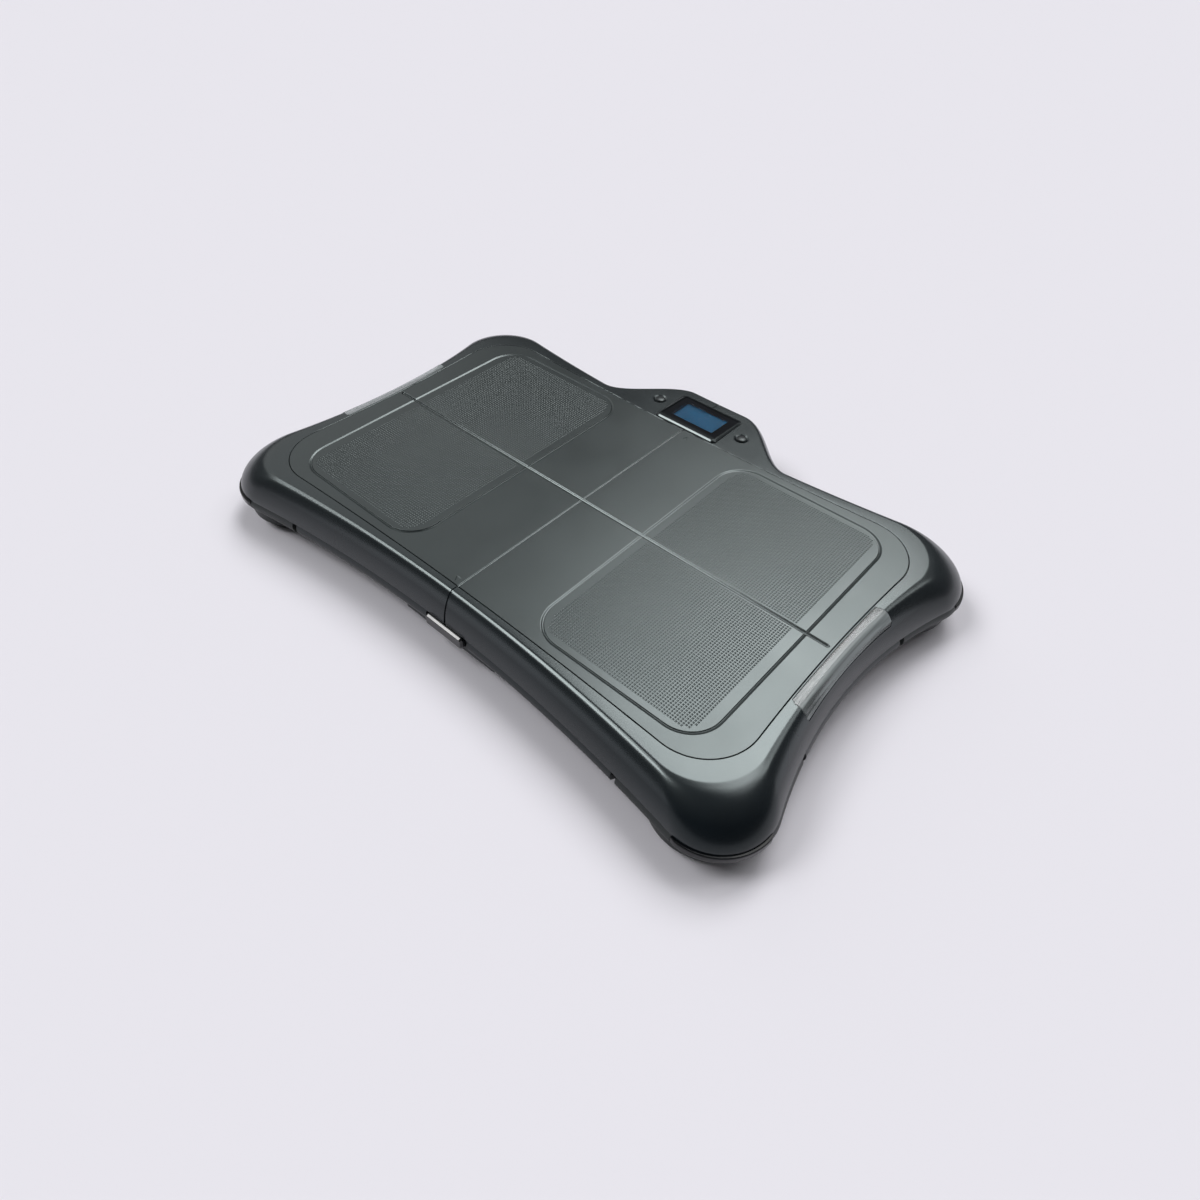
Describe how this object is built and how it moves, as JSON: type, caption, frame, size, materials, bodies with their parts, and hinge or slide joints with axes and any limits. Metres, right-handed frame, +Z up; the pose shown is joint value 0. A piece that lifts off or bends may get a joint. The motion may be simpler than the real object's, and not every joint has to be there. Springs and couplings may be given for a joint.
{
  "type": "balance board controller",
  "caption": "Low board with a waisted outline, rounded rim, grooved standing pads, a rear display bump with keys, a front power bar and a load cell over each round foot.",
  "frame": {"origin": "on the floor, under the middle of the outline", "axes": "+X to the right along the long side, +Y towards the display, +Z up"},
  "size_m": [0.5144, 0.35, 0.0552],
  "materials": {
    "shell_plastic": "fine texture, satin",
    "deck_plastic": "fine dimples, matte",
    "foot_plastic": "smooth, satin",
    "gloss_black": "polished",
    "foot_rubber": "matte",
    "zinc_steel": "zinc plated",
    "cell_aluminium": "machined",
    "clear_lens": "clear, polished",
    "window_black": "polished, tinted",
    "display_blue": "polished",
    "circuit_green": "satin",
    "switch_black": "matte",
    "battery_sleeve": "satin",
    "sync_red": "satin"
  },
  "bodies": {
    "board": {"battery_1": "battery_sleeve", "battery_2": "battery_sleeve", "battery_3": "battery_sleeve", "battery_4": "battery_sleeve", "battery_contact_front": "zinc_steel", "battery_contact_rear": "zinc_steel", "bottom_shell": "shell_plastic", "corner_bumper_front_left": "gloss_black", "corner_bumper_front_right": "gloss_black", "corner_bumper_rear_left": "gloss_black", "corner_bumper_rear_right": "gloss_black", "deck_panel": "deck_plastic", "display_bezel": "gloss_black", "display_board": "circuit_green", "display_glass": "display_blue", "display_window": "window_black", "foot_housing_front_left": "foot_plastic", "foot_housing_front_right": "foot_plastic", "foot_housing_rear_left": "foot_plastic", "foot_housing_rear_right": "foot_plastic", "foot_rubber_front_left": "foot_rubber", "foot_rubber_front_right": "foot_rubber", "foot_rubber_rear_left": "foot_rubber", "foot_rubber_rear_right": "foot_rubber", "foot_screw_front_left": "zinc_steel", "foot_screw_front_right": "zinc_steel", "foot_screw_rear_left": "zinc_steel", "foot_screw_rear_right": "zinc_steel", "key_switch_left": "switch_black", "key_switch_right": "switch_black", "light_lens_left": "clear_lens", "light_lens_right": "clear_lens", "light_strip_left": "circuit_green", "light_strip_right": "circuit_green", "load_cell_front_left": "cell_aluminium", "load_cell_front_right": "cell_aluminium", "load_cell_rear_left": "cell_aluminium", "load_cell_rear_right": "cell_aluminium", "load_cell_screw_front_left": "zinc_steel", "load_cell_screw_front_right": "zinc_steel", "load_cell_screw_rear_left": "zinc_steel", "load_cell_screw_rear_right": "zinc_steel", "main_board": "circuit_green", "power_switch": "switch_black", "shell_screw_1": "zinc_steel", "shell_screw_2": "zinc_steel", "shell_screw_3": "zinc_steel", "shell_screw_4": "zinc_steel", "shell_screw_5": "zinc_steel", "shell_screw_6": "zinc_steel", "shell_screw_7": "zinc_steel", "shell_screw_8": "zinc_steel", "support_plate": "zinc_steel", "sync_switch": "switch_black", "top_shell": "shell_plastic"},
    "power_button": {"power_button": "gloss_black"},
    "key_left": {"key_left": "gloss_black"},
    "key_right": {"key_right": "gloss_black"},
    "sync_button": {"sync_button": "sync_red"},
    "battery_cover": {"battery_cover": "shell_plastic"}
  },
  "joints": [
    {"name": "power_press", "type": "slide", "parent": "board", "child": "power_button", "axis": [0, 1, 0], "range_m": [0, 0.0012], "stiffness_N_per_m": 1000},
    {"name": "key_left_press", "type": "slide", "parent": "board", "child": "key_left", "axis": [0, 0, -1], "range_m": [0, 0.0008], "stiffness_N_per_m": 800},
    {"name": "key_right_press", "type": "slide", "parent": "board", "child": "key_right", "axis": [0, 0, -1], "range_m": [0, 0.0008], "stiffness_N_per_m": 800},
    {"name": "sync_press", "type": "slide", "parent": "board", "child": "sync_button", "axis": [0, 0, 1], "range_m": [0, 0.0008], "stiffness_N_per_m": 800},
    {"name": "battery_cover_slide", "type": "slide", "parent": "board", "child": "battery_cover", "axis": [0, 1, 0], "range_m": [0, 0.07]}
  ]
}
